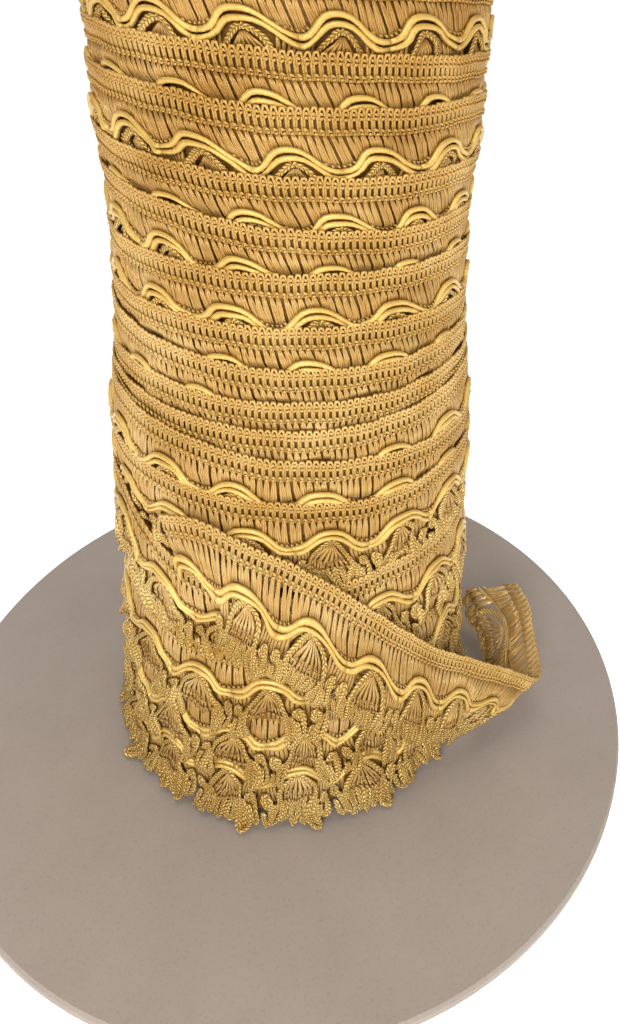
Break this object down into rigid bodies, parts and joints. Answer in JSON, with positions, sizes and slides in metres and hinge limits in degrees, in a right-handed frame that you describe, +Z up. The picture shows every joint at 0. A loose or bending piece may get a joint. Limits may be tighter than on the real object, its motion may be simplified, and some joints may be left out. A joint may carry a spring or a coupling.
{
  "type": "lace trim wound on a card reel disc",
  "caption": "Gold gimp lace trim wound in a tall overlapping roll that stands on a round card disc, with a loose end flaring off one side.",
  "frame": {"origin": "centre of the underside of the card disc, which is the centre of the part's base", "axes": "+Z up along the roll, -Y towards the front, where the loose end crosses the roll, +X towards the side where the loose end flares out"},
  "size_m": [0.2, 0.2, 0.209],
  "materials": {
    "grey_card": "uncoated grey board, wood pulp with faint flecks",
    "wound_gold_yarn": "satin antique gold gimp yarn",
    "loose_gold_yarn": "satin antique gold gimp yarn"
  },
  "bodies": {
    "root": {"card_disc": "grey_card", "wound_roll": "wound_gold_yarn", "loose_end": "loose_gold_yarn"}
  },
  "joints": []
}
